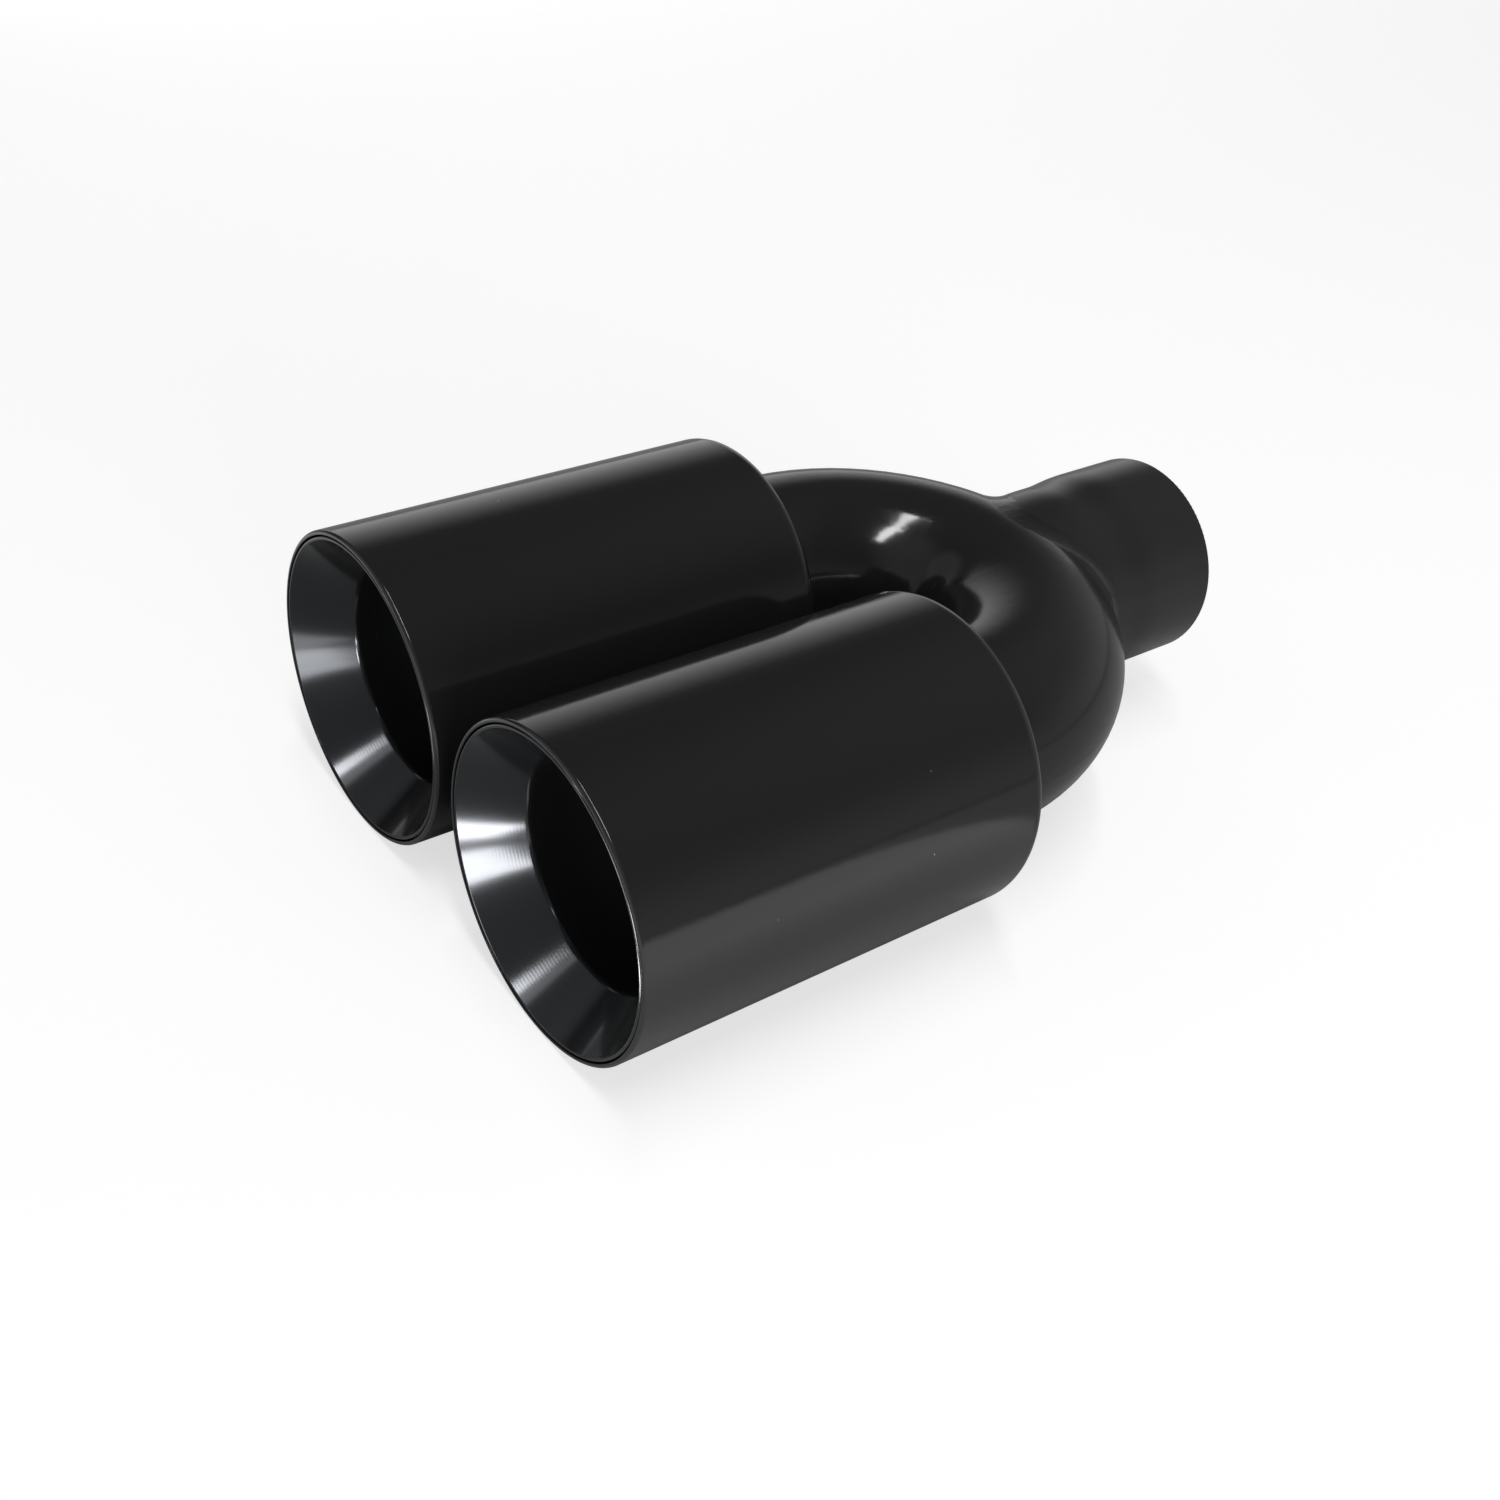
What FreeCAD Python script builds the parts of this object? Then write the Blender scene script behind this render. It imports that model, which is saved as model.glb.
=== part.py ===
# Twin exhaust tip: two double-walled tips on a U-shaped pipe with one inlet
import FreeCAD
import Part
import math
import os

# Frame: millimetres, +Z up, origin at the centre of the inlet's mouth.
# The inlet's axis lies along +Y and the two tips open towards -Y.
# "Depth" is always measured back from the plane of the two mouths.

# Driving dimensions of the whole part
OVERALL_LENGTH = 256.0
TIP_DIAMETER = 88.9
TIP_GAP = 6.6

# Outer sleeve of each tip: rolled sheet, turned in at the back
SLEEVE_LENGTH = 126.0
SLEEVE_SHEET = 1.3
SLEEVE_EDGE_ROUND = 1.0
SLEEVE_INNER_EDGE = 0.3
SHOULDER_RADIUS = 4.4

# Spun cone inside each mouth, with its neck and its collar
CONE_SHEET = 1.2
THROAT_RADIUS = 31.0
THROAT_DEPTH = 15.5
THROAT_ROUND = 2.0
NECK_LENGTH = 24.0
NECK_TAPER_LENGTH = 5.0
COLLAR_LENGTH = 14.0

# Twin pipe: two straight legs joined by a compound bend
PIPE_DIAMETER = 58.0
PIPE_WALL = 1.5
LEG_BEHIND_SLEEVE = 11.6
BEND_SIDE_EXTRA_RADIUS = 6.95
BEND_SIDE_ANGLE = 60.0
OUTLET_LEDGE = 1.5

# Inlet pipe: pressed neck cut to a saddle, soft flare and straight socket
SOCKET_DIAMETER = 63.5
SOCKET_LENGTH = 22.0
FLARE_LENGTH = 16.0
FLARE_STEP = 1.05
INLET_WALL = 1.5
INLET_EDGE_ROUND = 0.4
NECK_PRESS = 3.1
NECK_START_BEFORE_CREST = 2.0
PRESSED_LENGTH = 26.0
NECK_RINGS = 9
NECK_RING_POINTS = 24
NECK_SEAM_STEP = 0.02

# Fillet welds
TIP_WELD_LEG = 3.6
TIP_WELD_CROWN = 0.35
INLET_WELD_LEG = 5.5
INLET_WELD_TOE = 0.15
INLET_WELD_SEAT = 0.04
INLET_WELD_STEPS = 8
INLET_WELD_SECTIONS = 36

# Sizes that follow from the ones above
TIP_RADIUS = TIP_DIAMETER / 2
TIP_OFFSET = (TIP_DIAMETER + TIP_GAP) / 2
PIPE_RADIUS = PIPE_DIAMETER / 2
PIPE_BORE = PIPE_RADIUS - PIPE_WALL
NECK_END_DEPTH = THROAT_DEPTH + NECK_LENGTH
COLLAR_DEPTH = NECK_END_DEPTH + NECK_TAPER_LENGTH
BEND_DEPTH = SLEEVE_LENGTH + LEG_BEHIND_SLEEVE
SIDE_BEND_RADIUS = TIP_OFFSET + BEND_SIDE_EXTRA_RADIUS
SIDE_BEND_ANGLE = math.radians(BEND_SIDE_ANGLE)
CREST_BEND_RADIUS = SIDE_BEND_RADIUS - BEND_SIDE_EXTRA_RADIUS / math.cos(SIDE_BEND_ANGLE)
BEND_STEP = SIDE_BEND_RADIUS - CREST_BEND_RADIUS
CREST_CENTRE_DEPTH = BEND_DEPTH + BEND_STEP * math.sin(SIDE_BEND_ANGLE)
CREST_DEPTH = CREST_CENTRE_DEPTH + CREST_BEND_RADIUS
SOCKET_RADIUS = SOCKET_DIAMETER / 2
INLET_NECK_RADIUS = SOCKET_RADIUS - FLARE_STEP
NECK_LOFT_RADIUS = INLET_NECK_RADIUS - NECK_SEAM_STEP
NECK_FRONT_DEPTH = CREST_DEPTH - NECK_START_BEFORE_CREST
NECK_ROUND_DEPTH = NECK_FRONT_DEPTH + PRESSED_LENGTH

UP = FreeCAD.Vector(0, 0, 1)
BACK = FreeCAD.Vector(0, 1, 0)


# Places a point by side, depth behind the mouths, and height
def place(side, depth, height=0.0):
    return FreeCAD.Vector(side, depth - OVERALL_LENGTH, height)


# Point of a turned profile, drawn in the plane z = 0 beside its axis
def turned_point(radius, depth):
    return place(radius, depth)


def line(start, end):
    return Part.LineSegment(turned_point(*start), turned_point(*end)).toShape()


def arc(start, middle, end):
    points = [turned_point(*start), turned_point(*middle), turned_point(*end)]
    return Part.Arc(*points).toShape()


# Middle point of a rounded corner, from its centre, its radius and a direction
def on_circle(centre, radius, angle_deg):
    angle = math.radians(angle_deg)
    return (centre[0] + radius * math.cos(angle), centre[1] + radius * math.sin(angle))


# Turns a closed profile once round the axis that runs along Y
def turn(edges):
    face = Part.Face(Part.Wire(edges))
    return face.revolve(place(0, 0), BACK, 360)


# Keeps the solid of a boolean result
def one_solid(shape):
    solids = shape.Solids
    if len(solids) != 1:
        raise RuntimeError("expected one solid, found %d" % len(solids))
    return solids[0]


def at_tip(shape, side):
    return shape.translated(FreeCAD.Vector(side * TIP_OFFSET, 0, 0))


# Outer sleeve: straight wall, rounded front edge, shoulder and flat back
def make_sleeve():
    outer = TIP_RADIUS
    inner = outer - SLEEVE_SHEET
    front = SLEEVE_EDGE_ROUND
    back = SLEEVE_LENGTH
    inner_back = back - SLEEVE_SHEET
    bend_out = SHOULDER_RADIUS
    bend_in = bend_out - SLEEVE_SHEET
    centre = (outer - bend_out, back - bend_out)
    edge_centre = (outer - front, front)
    groove_centre = (inner + SLEEVE_INNER_EDGE, SLEEVE_INNER_EDGE)
    hole = PIPE_RADIUS
    edges = [
        line((inner, SLEEVE_INNER_EDGE), (inner, centre[1])),
        arc((inner, centre[1]), on_circle(centre, bend_in, 45), (centre[0], inner_back)),
        line((centre[0], inner_back), (hole, inner_back)),
        line((hole, inner_back), (hole, back)),
        line((hole, back), (centre[0], back)),
        arc((centre[0], back), on_circle(centre, bend_out, 45), (outer, centre[1])),
        line((outer, centre[1]), (outer, front)),
        arc((outer, front), on_circle(edge_centre, front, -45), (outer - front, 0)),
        arc((inner + SLEEVE_INNER_EDGE, 0), on_circle(groove_centre, SLEEVE_INNER_EDGE, 225),
            (inner, SLEEVE_INNER_EDGE)),
    ]
    if outer - front > inner + SLEEVE_INNER_EDGE + 1e-6:
        edges.insert(8, line((outer - front, 0), (inner + SLEEVE_INNER_EDGE, 0)))
    return turn(edges)


# Spun cone: rounded lip, cone, throat, neck, taper and collar over the leg
def make_cone():
    half = CONE_SHEET / 2
    lip_centre = (TIP_RADIUS - SLEEVE_SHEET - half, half)
    throat_mid = THROAT_RADIUS + half
    collar_mid = PIPE_RADIUS + half
    corner = (throat_mid, THROAT_DEPTH)
    path = [lip_centre, corner, (throat_mid, NECK_END_DEPTH), (collar_mid, COLLAR_DEPTH),
            (collar_mid, COLLAR_DEPTH + COLLAR_LENGTH)]
    rounds = [THROAT_ROUND + half, THROAT_ROUND + half, THROAT_ROUND + half]
    return turn(sheet_profile(path, rounds, half))


# Outline of a bent sheet: a centre line with rounded corners, thickened both ways
def sheet_profile(path, rounds, half):
    left = []
    right = []
    start_dir = direction(path[0], path[1])
    cursor = path[0]
    for index, radius in enumerate(rounds):
        before, corner, after = path[index], path[index + 1], path[index + 2]
        dir_in = direction(before, corner)
        dir_out = direction(corner, after)
        turn_angle = math.atan2(dir_in[0] * dir_out[1] - dir_in[1] * dir_out[0],
                                dir_in[0] * dir_out[0] + dir_in[1] * dir_out[1])
        cut = radius * math.tan(abs(turn_angle) / 2)
        enter = (corner[0] - dir_in[0] * cut, corner[1] - dir_in[1] * cut)
        leave = (corner[0] + dir_out[0] * cut, corner[1] + dir_out[1] * cut)
        side = 1 if turn_angle > 0 else -1
        centre = shift(enter, dir_in, side * radius)
        mid_dir = direction(centre, corner)
        for edges, sign in ((left, 1), (right, -1)):
            edges.append(line(shift(cursor, dir_in, sign * half), shift(enter, dir_in, sign * half)))
            reach = radius - sign * side * half
            middle = (centre[0] + mid_dir[0] * reach, centre[1] + mid_dir[1] * reach)
            edges.append(arc(shift(enter, dir_in, sign * half), middle,
                             shift(leave, dir_out, sign * half)))
        cursor = leave
        last_dir = dir_out
    end = path[-1]
    for edges, sign in ((left, 1), (right, -1)):
        edges.append(line(shift(cursor, last_dir, sign * half), shift(end, last_dir, sign * half)))
    nose = (path[0][0] - start_dir[0] * half, path[0][1] - start_dir[1] * half)
    rounded_lip = arc(shift(path[0], start_dir, half), nose, shift(path[0], start_dir, -half))
    cut_end = line(shift(end, last_dir, half), shift(end, last_dir, -half))
    return Part.sortEdges(left + right + [rounded_lip, cut_end])[0]


def direction(start, end):
    dx, dy = end[0] - start[0], end[1] - start[1]
    length = math.hypot(dx, dy)
    return (dx / length, dy / length)


# Moves a profile point sideways, to the left of a direction
def shift(point, along, distance):
    return (point[0] - along[1] * distance, point[1] + along[0] * distance)


# Solid bar that follows the twin pipe: legs, side bends and crest bend
def twin_bar(radius, front_depth):
    bar = None
    for side in (-1, 1):
        leg = Part.makeCylinder(radius, BEND_DEPTH - front_depth,
                                place(side * TIP_OFFSET, front_depth), BACK)
        start = disc(place(side * TIP_OFFSET, BEND_DEPTH), BACK, radius)
        centre = place(side * (TIP_OFFSET - SIDE_BEND_RADIUS), BEND_DEPTH)
        side_bend = start.revolve(centre, UP * side, BEND_SIDE_ANGLE)
        bar = leg if bar is None else bar.fuse(leg)
        bar = bar.fuse(side_bend)
    crest_x = CREST_BEND_RADIUS * math.cos(SIDE_BEND_ANGLE)
    crest_y = CREST_CENTRE_DEPTH + CREST_BEND_RADIUS * math.sin(SIDE_BEND_ANGLE)
    along = FreeCAD.Vector(-math.sin(SIDE_BEND_ANGLE), math.cos(SIDE_BEND_ANGLE), 0)
    start = disc(place(crest_x, crest_y), along, radius)
    crest = start.revolve(place(0, CREST_CENTRE_DEPTH), UP, 180 - 2 * BEND_SIDE_ANGLE)
    return one_solid(bar.fuse(crest))


def disc(centre, normal, radius):
    return Part.Face(Part.Wire(Part.makeCircle(radius, centre, normal)))


# Twin pipe: hollow bar with the round opening behind its crest
def make_twin_pipe(outer_bar):
    front = COLLAR_DEPTH
    bore = twin_bar(PIPE_BORE, front - 10)
    opening = Part.makeCylinder(PIPE_BORE - OUTLET_LEDGE, 3 * PIPE_RADIUS, place(0, CREST_DEPTH), BACK)
    return one_solid(outer_bar.cut(bore).cut(opening))


# Oval section of the inlet's neck: pressed lower towards the bend, round behind it
def neck_half_height(depth):
    part = min(max((depth - NECK_FRONT_DEPTH) / PRESSED_LENGTH, 0), 1)
    return NECK_LOFT_RADIUS - NECK_PRESS * (1 - part * part * (3 - 2 * part))


def neck_ring(depth, inset):
    half_width = NECK_LOFT_RADIUS - inset
    half_height = neck_half_height(depth) - inset
    points = []
    for index in range(NECK_RING_POINTS):
        angle = 2 * math.pi * index / NECK_RING_POINTS
        points.append(place(half_width * math.cos(angle), depth, half_height * math.sin(angle)))
    curve = Part.BSplineCurve()
    curve.interpolate(Points=points, PeriodicFlag=True)
    return Part.Wire(curve.toShape())


def pressed_neck(inset):
    rings = []
    for index in range(NECK_RINGS):
        depth = NECK_FRONT_DEPTH + PRESSED_LENGTH * index / (NECK_RINGS - 1)
        rings.append(neck_ring(depth, inset))
    return Part.makeLoft(rings, True, False)


# Edges of the round part of the inlet: neck, soft flare and straight socket
def inlet_side(inset, end_depth):
    neck = INLET_NECK_RADIUS - inset
    socket = SOCKET_RADIUS - inset
    flare_end = OVERALL_LENGTH - SOCKET_LENGTH
    flare_start = flare_end - FLARE_LENGTH
    rise = FLARE_STEP / 8
    quarter = FLARE_LENGTH / 4
    middle = ((neck + socket) / 2, (flare_start + flare_end) / 2)
    return [
        line((neck, NECK_ROUND_DEPTH), (neck, flare_start)),
        arc((neck, flare_start), (neck + rise, flare_start + quarter), middle),
        arc(middle, (socket - rise, flare_end - quarter), (socket, flare_end)),
        line((socket, flare_end), (socket, end_depth)),
    ]


# Filled body of the inlet's outside, with its rounded rim
def inlet_bar():
    rim = OVERALL_LENGTH - INLET_EDGE_ROUND
    centre = (SOCKET_RADIUS - INLET_EDGE_ROUND, rim)
    edges = inlet_side(0, rim)
    edges.append(arc((SOCKET_RADIUS, rim), on_circle(centre, INLET_EDGE_ROUND, 45),
                     (centre[0], OVERALL_LENGTH)))
    edges.append(line((centre[0], OVERALL_LENGTH), (0, OVERALL_LENGTH)))
    edges.append(line((0, OVERALL_LENGTH), (0, NECK_ROUND_DEPTH)))
    edges.append(line((0, NECK_ROUND_DEPTH), (INLET_NECK_RADIUS, NECK_ROUND_DEPTH)))
    return one_solid(turn(edges).fuse(pressed_neck(0)))


def inlet_bore():
    end = OVERALL_LENGTH + INLET_WALL
    edges = inlet_side(INLET_WALL, end)
    edges.append(line((SOCKET_RADIUS - INLET_WALL, end), (0, end)))
    edges.append(line((0, end), (0, NECK_ROUND_DEPTH)))
    edges.append(line((0, NECK_ROUND_DEPTH), (INLET_NECK_RADIUS - INLET_WALL, NECK_ROUND_DEPTH)))
    return one_solid(turn(edges).fuse(pressed_neck(INLET_WALL)))


# Inlet pipe: its front end is cut to the saddle of the bend
def make_inlet(outer_bar, solid_inlet):
    pipe = solid_inlet.cut(inlet_bore()).cut(outer_bar)
    return max(pipe.Solids, key=lambda solid: solid.Volume)


# Fillet weld that holds the sleeve's flat back to its leg
def make_tip_weld():
    root = (PIPE_RADIUS, SLEEVE_LENGTH)
    on_leg = (PIPE_RADIUS, SLEEVE_LENGTH + TIP_WELD_LEG)
    on_back = (PIPE_RADIUS + TIP_WELD_LEG, SLEEVE_LENGTH)
    out = TIP_WELD_LEG / 2 + TIP_WELD_CROWN
    crown = (PIPE_RADIUS + out, SLEEVE_LENGTH + out)
    return turn([line(root, on_back), arc(on_back, crown, on_leg), line(on_leg, root)])


# Closest point of the twin pipe's centre line, taken over its bends
def nearest_on_bend(point):
    side = 1 if point.x >= 0 else -1
    crest_centre = place(0, CREST_CENTRE_DEPTH)
    side_centre = place(side * (TIP_OFFSET - SIDE_BEND_RADIUS), BEND_DEPTH)
    flat = FreeCAD.Vector(point.x, point.y, 0)
    from_crest = flat - crest_centre
    if abs(from_crest.x) <= from_crest.Length * math.cos(SIDE_BEND_ANGLE):
        return crest_centre + from_crest.normalize() * CREST_BEND_RADIUS
    return side_centre + (flat - side_centre).normalize() * SIDE_BEND_RADIUS


def off_bend(point):
    return point - nearest_on_bend(point)


def on_neck(angle, depth):
    return place(NECK_LOFT_RADIUS * math.cos(angle), depth, neck_half_height(depth) * math.sin(angle))


# Depth at which the neck meets the bend, for one direction round the inlet
def saddle_depth(angle):
    near, far = NECK_FRONT_DEPTH, NECK_FRONT_DEPTH + 2 * PIPE_RADIUS
    for _ in range(50):
        middle = (near + far) / 2
        if off_bend(on_neck(angle, middle)).Length < PIPE_RADIUS:
            near = middle
        else:
            far = middle
    return far


# Points along the bend's surface, away from the inlet, for the weld's leg
def walk_on_bend(start, outward):
    plane_normal = outward.cross(BACK)
    point = FreeCAD.Vector(start)
    points = [start]
    for _ in range(INLET_WELD_STEPS):
        along = plane_normal.cross(off_bend(point).normalize()).normalize()
        if along.dot(BACK) > 0:
            along = along * -1
        point = point + along * (INLET_WELD_LEG / INLET_WELD_STEPS)
        points.append(nearest_on_bend(point) + off_bend(point).normalize() * PIPE_RADIUS)
    return points


# One section of the saddle weld: a hollow face between two low toes, on both pipes
def weld_section(angle):
    outward = FreeCAD.Vector(math.cos(angle), 0, math.sin(angle))
    depth = saddle_depth(angle)
    corner = on_neck(angle, depth)
    on_bend = walk_on_bend(corner, outward)
    on_pipe = [on_neck(angle, depth + INLET_WELD_LEG * part) for part in (1, 0.5)]
    along_bend = (on_bend[1] - corner).normalize()
    along_pipe = (on_pipe[1] - corner).normalize()
    open_way = (along_pipe + along_bend).normalize()
    bend_out = off_bend(on_bend[-1]).normalize()
    opening = along_pipe.getAngle(along_bend)
    hollow = INLET_WELD_LEG * math.tan((math.pi - opening) / 4) + INLET_WELD_TOE
    middle_out = off_bend(on_bend[INLET_WELD_STEPS // 2]).normalize()
    seat_corner = corner + open_way * INLET_WELD_SEAT
    seat_middle = on_bend[INLET_WELD_STEPS // 2] + middle_out * INLET_WELD_SEAT
    seat_bend = on_bend[-1] + bend_out * INLET_WELD_SEAT
    seat_pipe = on_pipe[0] + outward * INLET_WELD_SEAT
    top_bend = on_bend[-1] + bend_out * INLET_WELD_TOE
    top_pipe = on_pipe[0] + outward * INLET_WELD_TOE
    return Part.Wire([
        curve(top_pipe, corner + open_way * hollow, top_bend),
        curve(top_bend, seat_bend),
        curve(seat_bend, seat_middle, seat_corner),
        curve(seat_corner, on_pipe[1] + outward * INLET_WELD_SEAT, seat_pipe),
        curve(seat_pipe, top_pipe),
    ])


def curve(*points):
    if len(points) == 2:
        return Part.LineSegment(*points).toShape()
    spline = Part.BSplineCurve()
    spline.interpolate(list(points))
    return spline.toShape()


# Fillet weld carried all round the saddle
def make_inlet_weld():
    sections = []
    for index in range(INLET_WELD_SECTIONS):
        sections.append(weld_section(2 * math.pi * (index + 0.5) / INLET_WELD_SECTIONS))
    return one_solid(Part.makeLoft(sections, True, False, True))


def main():
    os.makedirs("parts", exist_ok=True)
    outer_bar = twin_bar(PIPE_RADIUS, COLLAR_DEPTH)
    solid_inlet = inlet_bar()
    sleeve = make_sleeve()
    cone = make_cone()
    tip_weld = make_tip_weld()
    nodes = {
        "twin_pipe": make_twin_pipe(outer_bar),
        "inlet_pipe": make_inlet(outer_bar, solid_inlet),
        "inlet_weld": make_inlet_weld(),
    }
    for name, side in (("left", -1), ("right", 1)):
        nodes[name + "_sleeve"] = at_tip(sleeve, side)
        nodes[name + "_cone"] = at_tip(cone, side)
        nodes[name + "_tip_weld"] = at_tip(tip_weld, side)
    for name, shape in nodes.items():
        shape.exportStep("parts/" + name + ".step")
        print(name, "valid", shape.isValid(), "solids", len(shape.Solids),
              "volume", round(shape.Volume, 1))


main()
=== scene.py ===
# %% [markdown]
# # A twin exhaust tip in black
#
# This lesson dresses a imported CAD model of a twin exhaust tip. Two double-walled tips sit on a
# U-shaped pipe, and one round inlet is welded into the back of the bend.
# The CAD nodes are loaded as a fixed frame. Every length is in metres. The inlet's mouth is the
# origin, the tips open towards -Y and +Z is up.

# %% Load the frame
import math
import bmesh
import bpy
from mathutils import Matrix, Vector


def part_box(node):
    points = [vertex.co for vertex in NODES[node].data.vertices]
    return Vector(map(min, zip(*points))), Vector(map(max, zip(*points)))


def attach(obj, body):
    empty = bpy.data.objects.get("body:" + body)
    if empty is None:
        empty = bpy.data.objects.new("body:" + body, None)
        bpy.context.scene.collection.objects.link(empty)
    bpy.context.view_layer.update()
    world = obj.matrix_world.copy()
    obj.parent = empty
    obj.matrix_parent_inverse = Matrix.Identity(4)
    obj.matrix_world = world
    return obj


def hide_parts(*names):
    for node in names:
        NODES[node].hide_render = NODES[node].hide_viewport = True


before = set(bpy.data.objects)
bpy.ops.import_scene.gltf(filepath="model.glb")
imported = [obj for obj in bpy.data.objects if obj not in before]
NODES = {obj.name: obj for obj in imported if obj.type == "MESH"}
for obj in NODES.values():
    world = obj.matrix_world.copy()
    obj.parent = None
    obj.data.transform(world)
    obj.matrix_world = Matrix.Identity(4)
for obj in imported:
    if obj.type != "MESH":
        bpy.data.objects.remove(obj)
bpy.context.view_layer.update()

MM = 0.001
print("nodes:", sorted(NODES))

# %% [markdown]
# ## Sizes that the new pieces share
#
# The sleeves and the cones are turned again here with more steps round them than the CAD mesh
# has, because a gloss black wall shows every flat in its reflections. They take their places
# from the nodes that they stand for, so they can't drift from the CAD.

# %% Sizes
TIP_RADIUS = 44.45 * MM
SLEEVE_SHEET = 1.3 * MM
SLEEVE_EDGE_ROUND = 1.0 * MM
SLEEVE_INNER_EDGE = 0.3 * MM
SHOULDER_RADIUS = 4.4 * MM
PIPE_RADIUS = 29.0 * MM
CONE_SHEET = 1.2 * MM
THROAT_RADIUS = 31.0 * MM
THROAT_DEPTH = 15.5 * MM
THROAT_ROUND = 2.0 * MM
NECK_END_DEPTH = 39.5 * MM
COLLAR_DEPTH = 44.5 * MM
COLLAR_LENGTH = 14.0 * MM
ROUND_STEPS = 192
MERGE_DISTANCE = 1e-7
SIDE_BEND_RADIUS = 54.7 * MM
SIDE_BEND_ANGLE = math.radians(60)
CREST_BEND_RADIUS = 40.8 * MM
CREST_CENTRE_Y = -106.36 * MM
SIDE_CENTRE_Y = -118.4 * MM
NECK_RADIUS = 30.68 * MM
NECK_PRESS = 3.1 * MM
NECK_START_Y = -67.56 * MM
PRESSED_LENGTH = 26.0 * MM
WELD_LEG = 5.5 * MM
WELD_SINK = 0.06 * MM

sleeve_low, sleeve_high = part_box("right_sleeve")
MOUTH_Y = sleeve_low[1]
SLEEVE_LENGTH = sleeve_high[1] - sleeve_low[1]
TIP_OFFSET = (sleeve_low[0] + sleeve_high[0]) / 2
FLOOR_Z = sleeve_low[2]
print("mouth plane at y = %.4f, tip axes at x = +-%.5f, floor at z = %.5f"
      % (MOUTH_Y, TIP_OFFSET, FLOOR_Z))

# %% [markdown]
# ## Turning a sheet-metal part
#
# A sleeve or a cone is round, so it is drawn as a profile and spun round the tip's axis. The
# profile starts as a few straight edges. Its corners are then beveled, which gives each one the
# radius that the metal gets when it is rolled or pressed over a tool.

# %% Profile helpers
def corner_at(bm, vert, radius, segments):
    # Rounds one corner of a profile, as a tool of that radius would
    edges = list(vert.link_edges)
    ways = [(e.other_vert(vert).co - vert.co).normalized() for e in edges]
    half = ways[0].angle(ways[1]) / 2
    bmesh.ops.bevel(bm, geom=[vert], offset=radius / math.tan(half), offset_type="OFFSET",
                    segments=segments, profile=0.5, affect="VERTICES", clamp_overlap=True,
                    material=-1)


def draw_profile(points, rounds, closed):
    # points are (radius, depth) in metres, and rounds gives a corner's radius and steps by index
    bm = bmesh.new()
    verts = [bm.verts.new((r, MOUTH_Y + d, 0)) for r, d in points]
    for start, end in zip(verts, verts[1:]):
        bm.edges.new((start, end))
    if closed:
        bm.edges.new((verts[-1], verts[0]))
    for index, (radius, segments) in rounds.items():
        corner_at(bm, verts[index], radius, segments)
    return bm


def spin_round(bm, side):
    # Spins the profile once round the Y axis and moves it to its tip
    bmesh.ops.spin(bm, geom=bm.verts[:] + bm.edges[:], cent=(0, 0, 0), axis=(0, 1, 0),
                   dvec=(0, 0, 0), angle=math.tau, steps=ROUND_STEPS, use_merge=True,
                   use_duplicate=False)
    bmesh.ops.remove_doubles(bm, verts=bm.verts[:], dist=MERGE_DISTANCE)
    bmesh.ops.translate(bm, verts=bm.verts[:], vec=(side * TIP_OFFSET, 0, 0))
    bmesh.ops.recalc_face_normals(bm, faces=bm.faces[:])


def finish_piece(bm, name):
    mesh = bpy.data.meshes.new(name)
    bm.to_mesh(mesh)
    bm.free()
    mesh.shade_smooth()
    piece = bpy.data.objects.new(name, mesh)
    bpy.context.scene.collection.objects.link(piece)
    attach(piece, "root")
    print(name, len(mesh.vertices), "vertices", len(mesh.polygons), "faces")
    return piece


def even_normals(piece):
    # Large faces set the shading, so that a flat wall stays flat up to its rounded edge
    weights = piece.modifiers.new("even normals", "WEIGHTED_NORMAL")
    weights.mode = "FACE_AREA"
    weights.weight = 80
    weights.keep_sharp = True

# %% [markdown]
# ## The outer sleeves
#
# Each tip's outside is a rolled sheet 1.3 mm thick. Its front edge is rounded over, and at the
# back it turns in over a 4.4 mm shoulder to a flat ring round the pipe. Spinning one closed
# profile gives both sides of the sheet and every edge at once.

# %% Make the sleeves
EDGE_FIT = 0.98  # the two roundings of the front edge stop just short of each other
INNER_EDGE_STEPS = 3
INNER_SHOULDER_STEPS = 8
SHOULDER_STEPS = 14
OUTER_EDGE_STEPS = 8


def make_sleeve(side, name):
    outer = TIP_RADIUS
    inner = TIP_RADIUS - SLEEVE_SHEET
    back = SLEEVE_LENGTH
    points = [(inner, 0), (inner, back - SLEEVE_SHEET), (PIPE_RADIUS, back - SLEEVE_SHEET),
              (PIPE_RADIUS, back), (outer, back), (outer, 0)]
    rounds = {0: (SLEEVE_INNER_EDGE * EDGE_FIT, INNER_EDGE_STEPS),
              1: (SHOULDER_RADIUS - SLEEVE_SHEET, INNER_SHOULDER_STEPS),
              4: (SHOULDER_RADIUS, SHOULDER_STEPS),
              5: (SLEEVE_EDGE_ROUND * EDGE_FIT, OUTER_EDGE_STEPS)}
    bm = draw_profile(points, rounds, closed=True)
    spin_round(bm, side)
    piece = finish_piece(bm, name)
    even_normals(piece)
    return piece


right_sleeve = make_sleeve(1, "right_outer_sleeve")
left_sleeve = make_sleeve(-1, "left_outer_sleeve")

# %% [markdown]
# ## The cones inside the mouths
#
# The bright inner part is spun from thinner sheet: a cone that narrows to the throat, a straight
# neck, and a collar that closes on the pipe's leg deep inside. It is drawn as one open line,
# spun to a skin, and given its thickness afterwards, because that keeps the wall even round
# each bend. Its lip touches the sleeve and leaves the fine dark groove that the real tip shows.

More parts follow.
